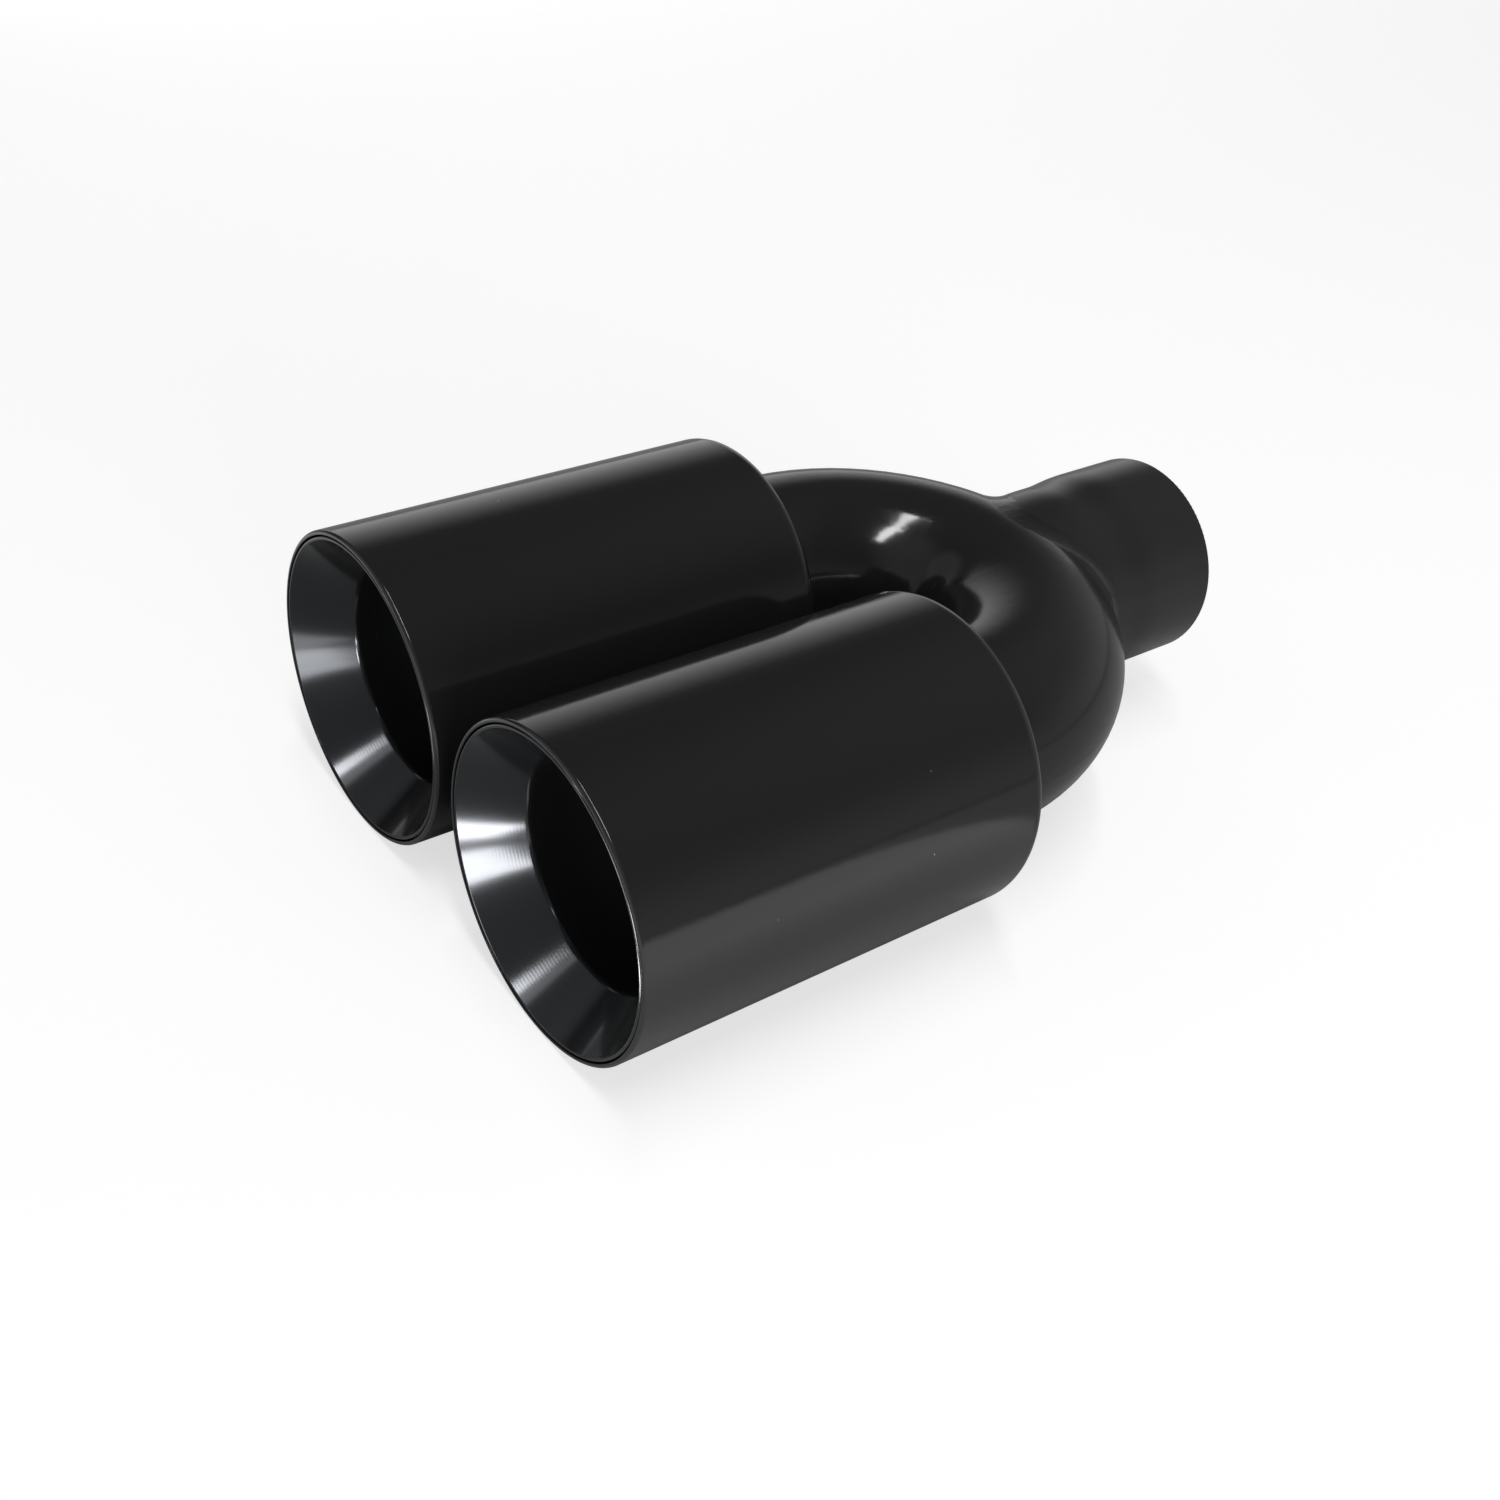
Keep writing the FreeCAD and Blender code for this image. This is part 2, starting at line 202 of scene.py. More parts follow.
# %% Make the cones
LIP_SETBACK = 0.4  # of half the sheet, behind the mouth plane
LIP_ROUND = 0.9  # of half the sheet
LIP_STEPS = 4
LIP_ANGLE = math.radians(60)
WALL_FIT = 0.99  # of the sheet, so that the wall clears the sleeve and the leg by a hair
THROAT_STEPS = 10
NECK_STEPS = 5


def make_cone(side, name):
    half = CONE_SHEET / 2
    points = [(TIP_RADIUS - SLEEVE_SHEET - half, half * LIP_SETBACK),
              (THROAT_RADIUS + half, THROAT_DEPTH),
              (THROAT_RADIUS + half, NECK_END_DEPTH),
              (PIPE_RADIUS + half, COLLAR_DEPTH),
              (PIPE_RADIUS + half, COLLAR_DEPTH + COLLAR_LENGTH)]
    bend = THROAT_ROUND + half
    rounds = {1: (bend, THROAT_STEPS), 2: (bend, NECK_STEPS), 3: (bend, NECK_STEPS)}
    bm = draw_profile(points, rounds, closed=False)
    spin_round(bm, side)
    piece = finish_piece(bm, name)
    wall = piece.modifiers.new("sheet", "SOLIDIFY")
    wall.thickness = CONE_SHEET * WALL_FIT
    wall.offset = 0
    wall.use_even_offset = True
    lip = piece.modifiers.new("rolled lip", "BEVEL")
    lip.width = half * LIP_ROUND
    lip.segments = LIP_STEPS
    lip.profile = 0.5
    lip.limit_method = "ANGLE"
    lip.angle_limit = LIP_ANGLE
    even_normals(piece)
    return piece


right_cone = make_cone(1, "right_inner_cone")
left_cone = make_cone(-1, "left_inner_cone")

# %% [markdown]
# ## The weld round the inlet
#
# The real weld was ground and painted over, so it melts into both pipes. The CAD's weld has two
# low toes, which a gloss black shows as hard lines. Here a grid is bent into the same fillet with
# faces that leave the bend and the neck as tangents. Its two edges sink a hair into the metal.

# %% Measure the two pipes
HALVINGS = 40


def pipe_centre(point):
    # Closest point of the bend's centre line
    crest = Vector((0, CREST_CENTRE_Y, 0))
    flat = Vector((point.x, point.y, 0))
    if abs(flat.x) <= (flat - crest).length * math.cos(SIDE_BEND_ANGLE):
        return crest + (flat - crest).normalized() * CREST_BEND_RADIUS
    side = Vector((math.copysign(SIDE_BEND_RADIUS - TIP_OFFSET, -point.x), SIDE_CENTRE_Y, 0))
    return side + (flat - side).normalized() * SIDE_BEND_RADIUS


def bend_normal(point):
    return (point - pipe_centre(point)).normalized()


def on_neck(angle, y):
    # Point of the pressed neck, which is oval near the bend and round behind it
    part = min(max((y - NECK_START_Y) / PRESSED_LENGTH, 0), 1)
    half_height = NECK_RADIUS - NECK_PRESS * (1 - part * part * (3 - 2 * part))
    return Vector((NECK_RADIUS * math.cos(angle), y, half_height * math.sin(angle)))


def saddle_y(angle):
    # Where the neck meets the bend, by halving
    near, far = NECK_START_Y, NECK_START_Y + 2 * PIPE_RADIUS
    for _ in range(HALVINGS):
        middle = (near + far) / 2
        point = on_neck(angle, middle)
        if (point - pipe_centre(point)).length < PIPE_RADIUS:
            near = middle
        else:
            far = middle
    return far


print("the neck meets the bend at y = %.5f on top and %.5f at the side"
      % (saddle_y(math.radians(90)), saddle_y(0)))

# %% Make the weld
WELD_STEPS = 240
WELD_ROWS = 14
LONG_RIPPLE = 0.05  # of the weld's leg, seven times round
SHORT_RIPPLE = 0.04  # of the weld's leg, seventeen times round
WALK_STEPS = 8


def weld_curve(angle):
    # Start, middle handle and end of one section, from the bend to the neck
    y = saddle_y(angle)
    corner = on_neck(angle, y)
    across = Vector((math.cos(angle), 0, math.sin(angle))).cross(Vector((0, 1, 0)))
    leg = WELD_LEG * (1 + LONG_RIPPLE * math.sin(7 * angle)
                      + SHORT_RIPPLE * math.sin(17 * angle + 1))
    # walk along the bend in short steps, put back on its surface after each
    point = corner.copy()
    for _ in range(WALK_STEPS):
        along = across.cross(bend_normal(point)).normalized()
        if along.y > 0:
            along.negate()
        point = point + along * (leg / WALK_STEPS)
        point = pipe_centre(point) + bend_normal(point) * PIPE_RADIUS
    on_bend = point - bend_normal(point) * WELD_SINK
    tangent = across.cross(bend_normal(point)).normalized()
    on_pipe = on_neck(angle, y + leg)
    pipe_way = (on_neck(angle, y + leg + MM) - on_neck(angle, y + leg - MM)).normalized()
    pipe_out = pipe_way.cross(across).normalized()
    if pipe_out.dot(on_pipe) < 0:
        pipe_out.negate()
    on_pipe = on_pipe - pipe_out * WELD_SINK
    # the handle is where the two tangents meet, which makes the fillet tangent to both pipes
    handle = on_bend + tangent * ((on_pipe - on_bend).dot(pipe_out) / tangent.dot(pipe_out))
    return on_bend, handle, on_pipe


def make_weld():
    bm = bmesh.new()
    bmesh.ops.create_grid(bm, x_segments=WELD_STEPS, y_segments=WELD_ROWS, size=0.5)
    curves = {}
    for vert in bm.verts:
        column, t = round((vert.co.x + 0.5) * WELD_STEPS) % WELD_STEPS, vert.co.y + 0.5
        if column not in curves:
            curves[column] = weld_curve(math.tau * column / WELD_STEPS)
        start, handle, end = curves[column]
        vert.co = start * (1 - t) ** 2 + handle * 2 * t * (1 - t) + end * t ** 2
    bmesh.ops.remove_doubles(bm, verts=bm.verts[:], dist=MERGE_DISTANCE)
    bmesh.ops.recalc_face_normals(bm, faces=bm.faces[:])
    top = max(bm.faces, key=lambda face: face.calc_center_median().z)
    if top.normal.z < 0:
        bmesh.ops.reverse_faces(bm, faces=bm.faces[:])
    return finish_piece(bm, "inlet_saddle_weld")


weld = make_weld()

# %% [markdown]
# ## What each new piece stands for
#
# A new piece hides the CAD node that it replaces. The twin pipe, the inlet and the two rear welds
# keep their CAD meshes, which already have the true saddle and flare.

# %% Say what the pieces replace
for piece, node, slot in ((right_sleeve, "right_sleeve", "sleeve_satin_black"),
                          (left_sleeve, "left_sleeve", "sleeve_satin_black"),
                          (right_cone, "right_cone", "cone_black_chrome"),
                          (left_cone, "left_cone", "cone_black_chrome"),
                          (weld, "inlet_weld", "pipe_gloss_black")):
    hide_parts(node)
    print(piece.name, "stands for", node)

# %% [markdown]
# ## Node helpers
#
# Each material is a small graph. These helpers place a node, set its plain values and feed its
# other sockets, so that the recipes below read as sentences.

# %% Node helpers
def join(tree, out_socket, in_socket):
    tree.links.new(out_socket, in_socket)


def add(tree, kind, inputs=None, **props):
    # Each input is given a plain value, or the socket that feeds it
    node = tree.nodes.new(kind)
    for key, value in props.items():
        setattr(node, key, value)
    for key, value in (inputs or {}).items():
        if isinstance(value, bpy.types.NodeSocket):
            join(tree, value, node.inputs[key])
        else:
            node.inputs[key].default_value = value
    return node


def maths(tree, operation, *values):
    node = add(tree, "ShaderNodeMath", dict(enumerate(values)), operation=operation)
    return node.outputs[0]


def ramp(tree, value, start, end, low=0.0, high=1.0, smooth=False):
    # Takes the range from start to end to the range from low to high, and holds it beyond
    node = add(tree, "ShaderNodeMapRange", {"Value": value, "From Min": start, "From Max": end,
                                            "To Min": low, "To Max": high},
               interpolation_type="SMOOTHSTEP" if smooth else "LINEAR")
    return node.outputs["Result"]


def mix_colours(tree, mask, first, second):
    node = add(tree, "ShaderNodeMix", {"Factor": mask, "A": first, "B": second}, data_type="RGBA")
    return node.outputs["Result"]


def object_place(tree):
    return add(tree, "ShaderNodeTexCoord").outputs["Object"]


def new_group(name, inputs, outputs):
    tree = bpy.data.node_groups.new(name, "ShaderNodeTree")
    for socket, default in inputs:
        made = tree.interface.new_socket(name=socket, in_out="INPUT", socket_type="NodeSocketFloat")
        made.default_value = default
    for socket in outputs:
        tree.interface.new_socket(name=socket, in_out="OUTPUT", socket_type="NodeSocketFloat")
    return tree, tree.nodes.new("NodeGroupInput"), tree.nodes.new("NodeGroupOutput")


def use_group(tree, group, inputs):
    return add(tree, "ShaderNodeGroup", inputs, node_tree=group)


def new_material(name):
    material = bpy.data.materials.new(name)
    material.use_nodes = True
    return material, material.node_tree, material.node_tree.nodes["Principled BSDF"]

# %% [markdown]
# ## Shared effect: the skin of a sprayed coat
#
# Sprayed and baked black never dries perfectly flat. It keeps a faint orange peel a few
# millimetres across, and its gloss drifts a little where it was handled. One group makes both
# from noise: a height for the Bump node and a change of roughness.

# %% Group for the coat's skin
def build_coat_skin():
    tree, given, out = new_group("coat skin", (("Peel size", 260.0), ("Haze size", 22.0),
                                               ("Roughness", 0.1), ("Haze", 0.04)),
                                 ("Height", "Roughness"))
    place = object_place(tree)
    peel = add(tree, "ShaderNodeTexNoise", {"Vector": place, "Scale": given.outputs["Peel size"],
                                            "Detail": 1.5, "Roughness": 0.45})
    join(tree, peel.outputs["Fac"], out.inputs["Height"])
    haze = add(tree, "ShaderNodeTexNoise", {"Vector": place, "Scale": given.outputs["Haze size"],
                                            "Detail": 4.0, "Roughness": 0.6, "Distortion": 0.4})
    centred = maths(tree, "SUBTRACT", haze.outputs["Fac"], 0.5)
    rough = maths(tree, "MULTIPLY_ADD", centred, given.outputs["Haze"], given.outputs["Roughness"])
    join(tree, rough, out.inputs["Roughness"])
    return tree


coat_skin = build_coat_skin()
print("group:", coat_skin.name)

# %% [markdown]
# ## Shared effect: specks of dust
#
# A few pale specks lie on the black, most of them on the sleeves. A Voronoi pattern gives each
# cell one point. Only the cells whose random value is low enough keep theirs, so the specks stay
# sparse and uneven.

# %% Group for dust specks
def build_dust():
    tree, given, out = new_group("dust specks", (("Cells per metre", 110.0), ("Share", 0.1),
                                                 ("Size", 0.028)), ("Mask",))
    cells = add(tree, "ShaderNodeTexVoronoi", {"Vector": object_place(tree),
                                               "Scale": given.outputs["Cells per metre"]},
                feature="F1")
    near = maths(tree, "LESS_THAN", cells.outputs["Distance"], given.outputs["Size"])
    pick = add(tree, "ShaderNodeSeparateColor", {0: cells.outputs["Color"]})
    rare = maths(tree, "LESS_THAN", pick.outputs[0], given.outputs["Share"])
    join(tree, maths(tree, "MULTIPLY", near, rare), out.inputs["Mask"])
    return tree


dust_specks = build_dust()
print("group:", dust_specks.name)

# %% [markdown]
# ## Shared effect: wear along a rim
#
# The front edges are touched most, so the black is thinnest there and looks a shade paler. The
# group reads how close a point is to the mouth plane and breaks that line up with noise.

# %% Group for rim wear
def build_rim_wear():
    tree, given, out = new_group("rim wear", (("Edge y", 0.0), ("Width", 0.001),
                                              ("Breakup", 90.0)), ("Mask",))
    place = object_place(tree)
    split = add(tree, "ShaderNodeSeparateXYZ", {0: place})
    from_edge = maths(tree, "SUBTRACT", split.outputs["Y"], given.outputs["Edge y"])
    near = ramp(tree, from_edge, 0.0, given.outputs["Width"], low=1.0, high=0.0, smooth=True)
    noise = add(tree, "ShaderNodeTexNoise", {"Vector": place, "Scale": given.outputs["Breakup"],
                                             "Detail": 5.0, "Roughness": 0.7})
    patchy = ramp(tree, noise.outputs["Fac"], 0.4, 0.7)
    join(tree, maths(tree, "MULTIPLY", near, patchy), out.inputs["Mask"])
    return tree


rim_wear = build_rim_wear()
print("group:", rim_wear.name)

# %% [markdown]
# ## The black coats
#
# The sleeves, the pipe and the inlet wear the same family of black, from full gloss to satin.
# The colour is nearly black, so what the eye reads is the reflection of the floor and the
# lamps: a low roughness keeps their edges, and a faint peel makes them waver like a real coat.

# %% Recipe for a black coat
COAT_IOR = 1.5
PEEL_STRENGTH = 0.35
DUST_COLOUR = (0.32, 0.31, 0.29, 1)


def handled(tree):
    # Soft patches where a coat without a rim looks a little paler
    drift = add(tree, "ShaderNodeTexNoise", {"Vector": object_place(tree), "Scale": 30.0,
                                             "Detail": 3.0})
    return ramp(tree, drift.outputs["Fac"], 0.45, 0.8, high=0.3)


def black_coat(name, colour, worn, roughness, haze, peel_height, dust, rim=None):
    # rim is the edge's y and the width of its wear
    material, tree, shader = new_material(name)
    shader.inputs["IOR"].default_value = COAT_IOR
    skin = use_group(tree, coat_skin, {"Roughness": roughness, "Haze": haze})
    join(tree, skin.outputs["Roughness"], shader.inputs["Roughness"])
    bump = add(tree, "ShaderNodeBump", {"Strength": PEEL_STRENGTH, "Distance": peel_height,
                                        "Height": skin.outputs["Height"]})
    join(tree, bump.outputs["Normal"], shader.inputs["Normal"])
    if rim is None:
        paler = handled(tree)
    else:
        paler = use_group(tree, rim_wear, {"Edge y": rim[0], "Width": rim[1]}).outputs["Mask"]
    tint = mix_colours(tree, paler, (*colour, 1), (*worn, 1))
    specks = use_group(tree, dust_specks, {"Share": dust})
    dusty = mix_colours(tree, specks.outputs["Mask"], tint, DUST_COLOUR)
    join(tree, dusty, shader.inputs["Base Color"])
    return material


sleeve_black = black_coat("black coat on the sleeves", colour=(0.0148, 0.0148, 0.0155),
                          worn=(0.03, 0.03, 0.031), roughness=0.12, haze=0.05,
                          peel_height=0.00004, dust=0.07, rim=(MOUTH_Y, 0.0009))
pipe_black = black_coat("gloss black on the bent pipe", colour=(0.015, 0.015, 0.0155),
                        worn=(0.022, 0.022, 0.023), roughness=0.13, haze=0.05,
                        peel_height=0.00008, dust=0.02)
inlet_black = black_coat("satin black on the inlet", colour=(0.021, 0.0195, 0.0205),
                         worn=(0.03, 0.028, 0.029), roughness=0.24, haze=0.08,
                         peel_height=0.00006, dust=0.02)
weld_black = black_coat("gloss black over the welds", colour=(0.015, 0.015, 0.0155),
                        worn=(0.024, 0.024, 0.025), roughness=0.14, haze=0.05,
                        peel_height=0.0005, dust=0.02)

# %% [markdown]
# ## The black chrome of the cones
#
# Black chrome is a metal film, so it reflects in its own dark grey instead of under a clear
# coat. The film is thin, so a little of it counts as plain black. The cone was spun on a lathe,
# which leaves rings too fine to count. A wave pattern along the axis gives them as a slight bump
# that draws the reflections out from lip to throat. Past the throat the colour turns darker and the
# surface rougher.

# %% Recipe for black chrome
FILM = 0.9
RING_STRENGTH = 0.15
RING_HEIGHT = 0.00001
DEEP_ROUGHNESS = 0.5


def black_chrome(name, colour, deep, roughness):
    material, tree, shader = new_material(name)
    shader.inputs["Metallic"].default_value = FILM
    skin = use_group(tree, coat_skin, {"Roughness": roughness, "Haze": 0.06, "Haze size": 40.0})
    place = object_place(tree)
    rings = add(tree, "ShaderNodeTexWave", {"Vector": place, "Scale": 420.0, "Distortion": 0.6,
                                            "Detail": 2.0, "Detail Scale": 0.4},
                wave_type="BANDS", bands_direction="Y", wave_profile="SIN")
    bump = add(tree, "ShaderNodeBump", {"Strength": RING_STRENGTH, "Distance": RING_HEIGHT,
                                        "Height": rings.outputs["Fac"]})
    join(tree, bump.outputs["Normal"], shader.inputs["Normal"])
    split = add(tree, "ShaderNodeSeparateXYZ", {0: place})
    # darker colour and more roughness past the throat
    inside = ramp(tree, split.outputs["Y"], MOUTH_Y + THROAT_DEPTH, MOUTH_Y + NECK_END_DEPTH)
    tint = mix_colours(tree, inside, (*colour, 1), (*deep, 1))
    join(tree, tint, shader.inputs["Base Color"])
    rougher_inside = ramp(tree, inside, 0.0, 1.0, high=DEEP_ROUGHNESS)
    rough = maths(tree, "ADD", skin.outputs["Roughness"], rougher_inside)
    join(tree, rough, shader.inputs["Roughness"])
    return material


cone_chrome = black_chrome("black chrome on the cones", colour=(0.044, 0.046, 0.049),
                           deep=(0.02, 0.02, 0.021), roughness=0.14)

# %% Put the finishes on
def dress(thing, material):
    thing.data.materials.clear()
    thing.data.materials.append(material)


for piece in (right_sleeve, left_sleeve):
    dress(piece, sleeve_black)
for piece in (right_cone, left_cone):
    dress(piece, cone_chrome)
dress(NODES["twin_pipe"], pipe_black)
dress(NODES["inlet_pipe"], inlet_black)
dress(weld, weld_black)
for name in ("left_tip_weld", "right_tip_weld"):
    dress(NODES[name], weld_black)
print("finishes:", [m.name for m in bpy.data.materials])

# %% [markdown]
# ## The table
#
# The object lies on a wide pale table. Its own colour, lit by the lamps, keeps the shadow. A
# steady lift for the camera brings it to white. Gloss rays alone see the table glow in front of a
# slanting line, a painted reflection with no lamp or sheet there. The long edge that the near
# sleeve shows is that line. Close to the tips the glow fades out, which paints their shade on it.
# It fades out once more towards its far end, a metre away.

# %% Make the table
CAMERA_LIFT = 0.67
# strength of the painted reflection that gloss rays see on the table
PAINTED_REFLECTION_LIFT = 0.70
TABLE_GREY = 0.52
TABLE_HALF = 4.0
TABLE_Y = -0.1
TABLE_GAP = 0.00005
PAINTED_REFLECTION_EDGE = (0.19, -0.05)
PAINTED_REFLECTION_WAY = (0.44, -0.898)
PAINTED_REFLECTION_SOFTNESS = 0.005
PAINTED_REFLECTION_FADE = (1.0, 0.6)
SHADE_CENTRE = (-0.02, -0.15)
SHADE_SQUEEZE = 0.7
SHADE_FADE = (0.10, 0.25)


def make_table():
    bm = bmesh.new()
    bmesh.ops.create_grid(bm, x_segments=1, y_segments=1, size=TABLE_HALF)
    bmesh.ops.translate(bm, verts=bm.verts[:], vec=(0, TABLE_Y, FLOOR_Z - TABLE_GAP))
    mesh = bpy.data.meshes.new("pale table")
    bm.to_mesh(mesh)
    bm.free()
    table = bpy.data.objects.new("pale table", mesh)
    bpy.context.scene.collection.objects.link(table)
    return table


def matt_material(name, colour):
    # No gloss at all, and ready to glow white
    material, tree, shader = new_material(name)
    shader.inputs["Base Color"].default_value = (*colour, 1)
    shader.inputs["Roughness"].default_value = 1.0
    shader.inputs["Specular IOR Level"].default_value = 0.0
    shader.inputs["Emission Color"].default_value = (1, 1, 1, 1)
    return material, tree, shader


def table_white():
    material, tree, shader = matt_material("pale table top with painted reflection", (TABLE_GREY, TABLE_GREY, TABLE_GREY))
    light_path = add(tree, "ShaderNodeLightPath")
    mirrored = maths(tree, "MAXIMUM", light_path.outputs["Is Glossy Ray"],
                     light_path.outputs["Is Transmission Ray"])
    place = object_place(tree)
    across = add(tree, "ShaderNodeVectorMath", {0: place, 1: (*PAINTED_REFLECTION_WAY, 0)},
                 operation="DOT_PRODUCT")
    edge = PAINTED_REFLECTION_EDGE[0] * PAINTED_REFLECTION_WAY[0] + PAINTED_REFLECTION_EDGE[1] * PAINTED_REFLECTION_WAY[1]
    # painted reflection: gloss rays see the table glow in front of the slanting line, though no
    # sheet or lamp lies there
    sheet = ramp(tree, across.outputs["Value"], edge - PAINTED_REFLECTION_SOFTNESS, edge + PAINTED_REFLECTION_SOFTNESS,
                 high=PAINTED_REFLECTION_LIFT, smooth=True)
    shade_place = (-SHADE_CENTRE[0], -SHADE_CENTRE[1] * SHADE_SQUEEZE, -FLOOR_Z)
    centred = add(tree, "ShaderNodeMapping", {"Vector": place, "Scale": (1, SHADE_SQUEEZE, 1),
                                              "Location": shade_place})
    away = add(tree, "ShaderNodeVectorMath", {0: centred.outputs["Vector"]}, operation="LENGTH")
    # painted shade: the glow fades out close to the tips
    out_of_painted_shade = ramp(tree, away.outputs["Value"], *SHADE_FADE, smooth=True)
    far_end = ramp(tree, away.outputs["Value"], *PAINTED_REFLECTION_FADE, smooth=True)
    bright = maths(tree, "MULTIPLY", sheet, maths(tree, "MULTIPLY", out_of_painted_shade, far_end))
    in_gloss = maths(tree, "MULTIPLY", mirrored, bright)
    strength = maths(tree, "MULTIPLY_ADD", light_path.outputs["Is Camera Ray"], CAMERA_LIFT,
                     in_gloss)
    join(tree, strength, shader.inputs["Emission Strength"])
    return material


table = make_table()
dress(table, table_white())
print("table made at z = %.5f" % FLOOR_Z)

# %% [markdown]
# ## The light
#
# Black gloss is lit by what it mirrors. A long, narrow strip hangs overhead in two halves and
# makes the bright patch on the bend. A fill from the right, which no gloss mirrors, lifts the
# sides. Six small lights draw the bright bands inside the cones. They are linked to the cones
# alone, so they leave the table and the pipe as they are. A pale screen glows at the back on the
# left. All of these are hidden from the camera, as they stand outside the photograph's frame.

# %% Light helpers
AIM = Vector((0, -0.15, 0))
UP = Vector((0, 0, 1))


def way(azimuth, elevation):
    # A direction by its angle round from -Y towards +X and its height, in degrees
    az, el = math.radians(azimuth), math.radians(elevation)
    return Vector((math.sin(az) * math.cos(el), -math.cos(az) * math.cos(el), math.sin(el)))


def facing(way_out):
    # The turn that brings +Z to a direction
    return way_out.normalized().to_track_quat("Z", "Y").to_matrix().to_4x4()


def soft_box(name, centre, towards, width, height, radiance):
    lamp = bpy.data.lights.new(name, "AREA")
    lamp.shape = "RECTANGLE"
    lamp.size = width
    lamp.size_y = height
    # an area lamp's radiance is its watts over four times its area
    lamp.energy = radiance * 4 * width * height
    box = bpy.data.objects.new(name, lamp)
    bpy.context.scene.collection.objects.link(box)
    box.matrix_world = Matrix.Translation(centre) @ facing(centre - towards)
    box.visible_camera = False
    return box


def soft_edge(tree, coordinate, half, fade):
    # 1 inside a card and 0 at its edge, along one of its sides
    return ramp(tree, maths(tree, "ABSOLUTE", coordinate), half, half - fade, smooth=True)


def card(name, centre, towards, width, height, colour, glow, side_fade, top_fade):
    bm = bmesh.new()
    bmesh.ops.create_grid(bm, x_segments=1, y_segments=1, size=0.5)
    bmesh.ops.scale(bm, vec=(width, height, 1), verts=bm.verts[:])
    mesh = bpy.data.meshes.new(name)
    bm.to_mesh(mesh)
    bm.free()
    sheet = bpy.data.objects.new(name, mesh)
    bpy.context.scene.collection.objects.link(sheet)
    sheet.matrix_world = Matrix.Translation(centre) @ facing(towards - centre)
    material, tree, shader = matt_material(name, colour)
    shader.inputs["Emission Strength"].default_value = glow
    split = add(tree, "ShaderNodeSeparateXYZ", {0: object_place(tree)})
    cover = maths(tree, "MULTIPLY", soft_edge(tree, split.outputs["X"], width / 2, side_fade),
                  soft_edge(tree, split.outputs["Y"], height / 2, top_fade))
    join(tree, cover, shader.inputs["Alpha"])
    dress(sheet, material)
    sheet.visible_camera = False
    sheet.visible_shadow = False

# %% Hang the lights
STRIP_HEIGHT = 2.5
STRIP_BEND = ((1.37, -0.80), (0.30, -0.48), (-0.47, 0.12))
STRIP_RADIANCE = 15.0
CONE_LIGHT_DISTANCE = 1.5
MOUTHS = Vector((0.0, MOUTH_Y, 0.0))


def overhead_strip(name, start, end, width):
    # A level strip between two points of the plane at its height
    start, end = Vector((*start, STRIP_HEIGHT)), Vector((*end, STRIP_HEIGHT))
    centre = (start + end) / 2
    box = soft_box(name, centre, centre - UP, (end - start).length, width, STRIP_RADIANCE)
    along = (end - start).normalized()
    box.matrix_world = Matrix((along, UP.cross(along), UP)).transposed().to_4x4()
    box.matrix_world.translation = centre


overhead_strip("overhead strip, right half", STRIP_BEND[0], STRIP_BEND[1], width=0.28)
overhead_strip("overhead strip, left half", STRIP_BEND[1], STRIP_BEND[2], width=0.15)
fill = soft_box("fill from the right", AIM + 1.2 * way(85, 11), AIM, width=0.9, height=0.4,
                radiance=4.3)
fill.visible_glossy = False

lit_cones = bpy.data.collections.new("lit by the cone lights")
for piece in (right_cone, left_cone):
    lit_cones.objects.link(piece)
# each has its name, its place, the point that it faces, its width, its height and its radiance
for light in (
        ("upper left cone light", MOUTHS + CONE_LIGHT_DISTANCE * way(-18, 41.5), MOUTHS,
         0.18, 0.17, 17.5),
        ("soft cone light beside it", MOUTHS + CONE_LIGHT_DISTANCE * way(-27, 41.5), MOUTHS,
         0.26, 0.22, 1.7),
        ("low cone light, right", Vector((0.079, -0.3145, -0.0430)), UP, 0.038, 0.038, 25.0),
        ("low cone light, left", Vector((-0.012, -0.335, -0.0435)), UP, 0.05, 0.04, 3.0),
        ("front cone light, right", Vector((0.142, -0.405, -0.008)), MOUTHS, 0.06, 0.055, 18.5),
        ("front cone light, left", Vector((0.034, -0.405, -0.019)), MOUTHS, 0.06, 0.052, 6.5)):
    box = soft_box(*light)
    box.light_linking.receiver_collection = lit_cones
card("pale screen", centre=Vector((-0.9, 0.9, 0.0)), towards=Vector((0.0, 0.9, 0.0)), width=2.3,
     height=1.5, colour=(0.7, 0.7, 0.7), glow=0.5, side_fade=0.2, top_fade=0.75)
print("lights:", sorted(lamp.name for lamp in bpy.data.lights))

# %% [markdown]
# ## The room
#
# Between the lamps the black mirrors the room itself, and a real room is never even. This one is
# palest at the horizon and darker overhead. Three broad soft patches add what large pale things
# would throw on the black, and a fourth takes some light away.

# %% Light the room
ROOM_LOW = 0.3
ROOM_HIGH = 0.08
ROOM_RISE = 0.6
# each has its middle, the cosines at its rim and its core, and how much it adds
ROOM_PATCHES = ((way(20, 40), 0.75, 0.97, 0.2), (way(-40, 26), 0.866, 0.951, 0.25),
                (way(-82, 2), 0.927, 0.97, -0.2), (way(175, 30), 0.75, 1.0, 0.1))


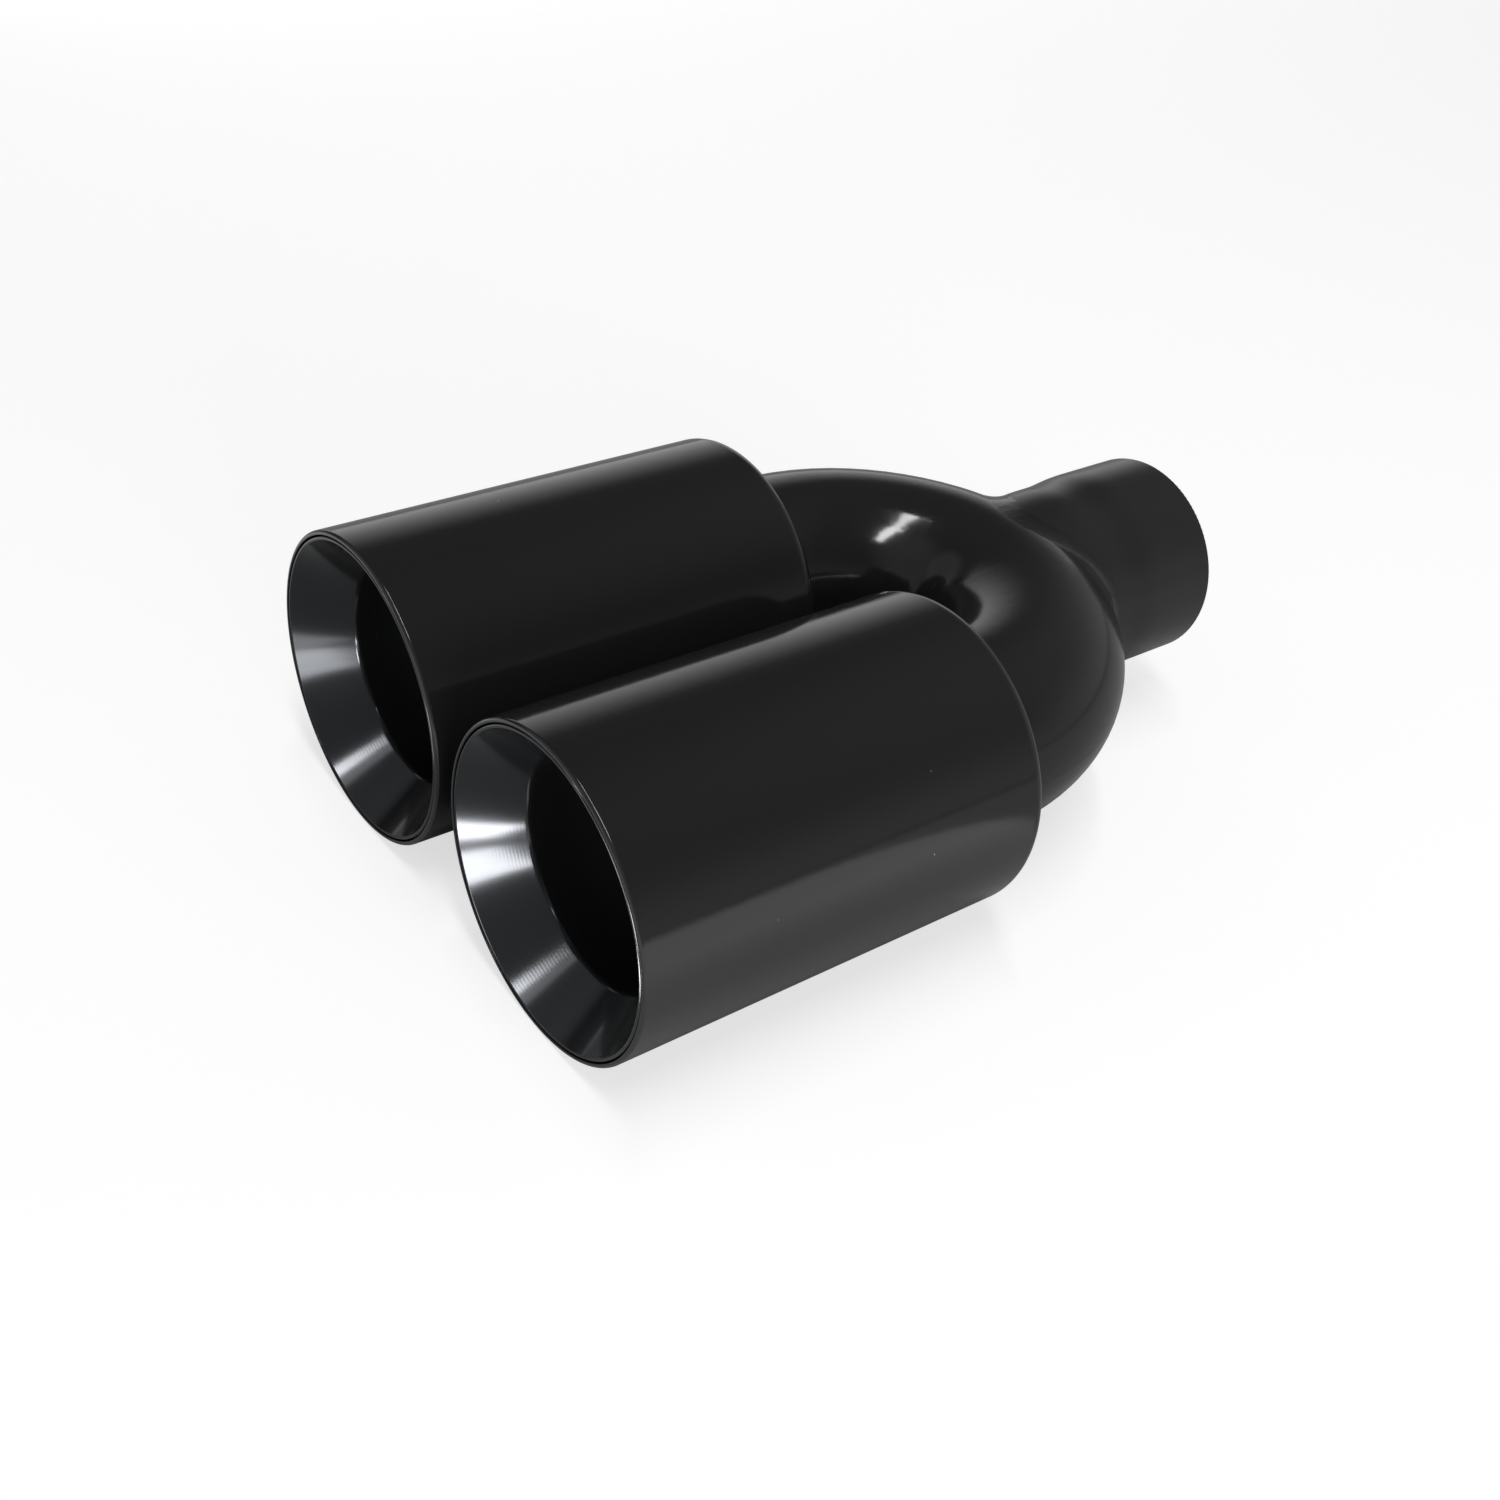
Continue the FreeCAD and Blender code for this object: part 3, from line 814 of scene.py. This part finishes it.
def light_room():
    world = bpy.data.worlds.new("dim studio")
    bpy.context.scene.world = world
    world.use_nodes = True
    tree = world.node_tree
    background = tree.nodes["Background"]
    place = add(tree, "ShaderNodeTexCoord").outputs["Generated"]
    split = add(tree, "ShaderNodeSeparateXYZ", {0: place})
    strength = ramp(tree, split.outputs["Z"], 0.0, ROOM_RISE, ROOM_LOW, ROOM_HIGH, smooth=True)
    for middle, rim, core, amount in ROOM_PATCHES:
        near = add(tree, "ShaderNodeVectorMath", {0: place, 1: middle}, operation="DOT_PRODUCT")
        patch = ramp(tree, near.outputs["Value"], rim, core, high=amount, smooth=True)
        strength = maths(tree, "ADD", strength, patch)
    join(tree, strength, background.inputs["Strength"])
    background.inputs["Color"].default_value = (1, 1, 1, 1)
    print("room:", world.name)


light_room()

# %% [markdown]
# ## The camera
#
# The camera's place, turn and lens were solved from the outlines of the round ends and of the
# bend, so the render overlays the photograph. The image is square, 1500 by 1500.

# %% Set the camera
AZIMUTH = 49.05
ELEVATION = 36.68
ROLL = 7.52
CAMERA_PLACE = (0.32443, -0.43621, 0.29489)
FOCAL_PIXELS = 1827.62
IMAGE_PIXELS = 1500
SENSOR_WIDTH = 36
NEAREST = 0.01


def make_camera():
    azimuth, roll = math.radians(AZIMUTH), math.radians(ROLL)
    back = way(AZIMUTH, ELEVATION)
    level = Vector((math.cos(azimuth), math.sin(azimuth), 0))
    rise = back.cross(level)
    right = math.cos(roll) * level + math.sin(roll) * rise
    up = -math.sin(roll) * level + math.cos(roll) * rise
    lens = bpy.data.cameras.new("camera")
    lens.sensor_width = SENSOR_WIDTH
    lens.lens = FOCAL_PIXELS / IMAGE_PIXELS * SENSOR_WIDTH
    lens.clip_start = NEAREST
    camera = bpy.data.objects.new("camera", lens)
    bpy.context.scene.collection.objects.link(camera)
    turn = Matrix((right, up, back)).transposed().to_4x4()
    turn.translation = Vector(CAMERA_PLACE)
    camera.matrix_world = turn
    bpy.context.scene.camera = camera
    print("camera %.1f mm at azimuth %.1f, elevation %.1f" % (lens.lens, AZIMUTH, ELEVATION))


make_camera()
bpy.context.scene.view_settings.view_transform = "Standard"
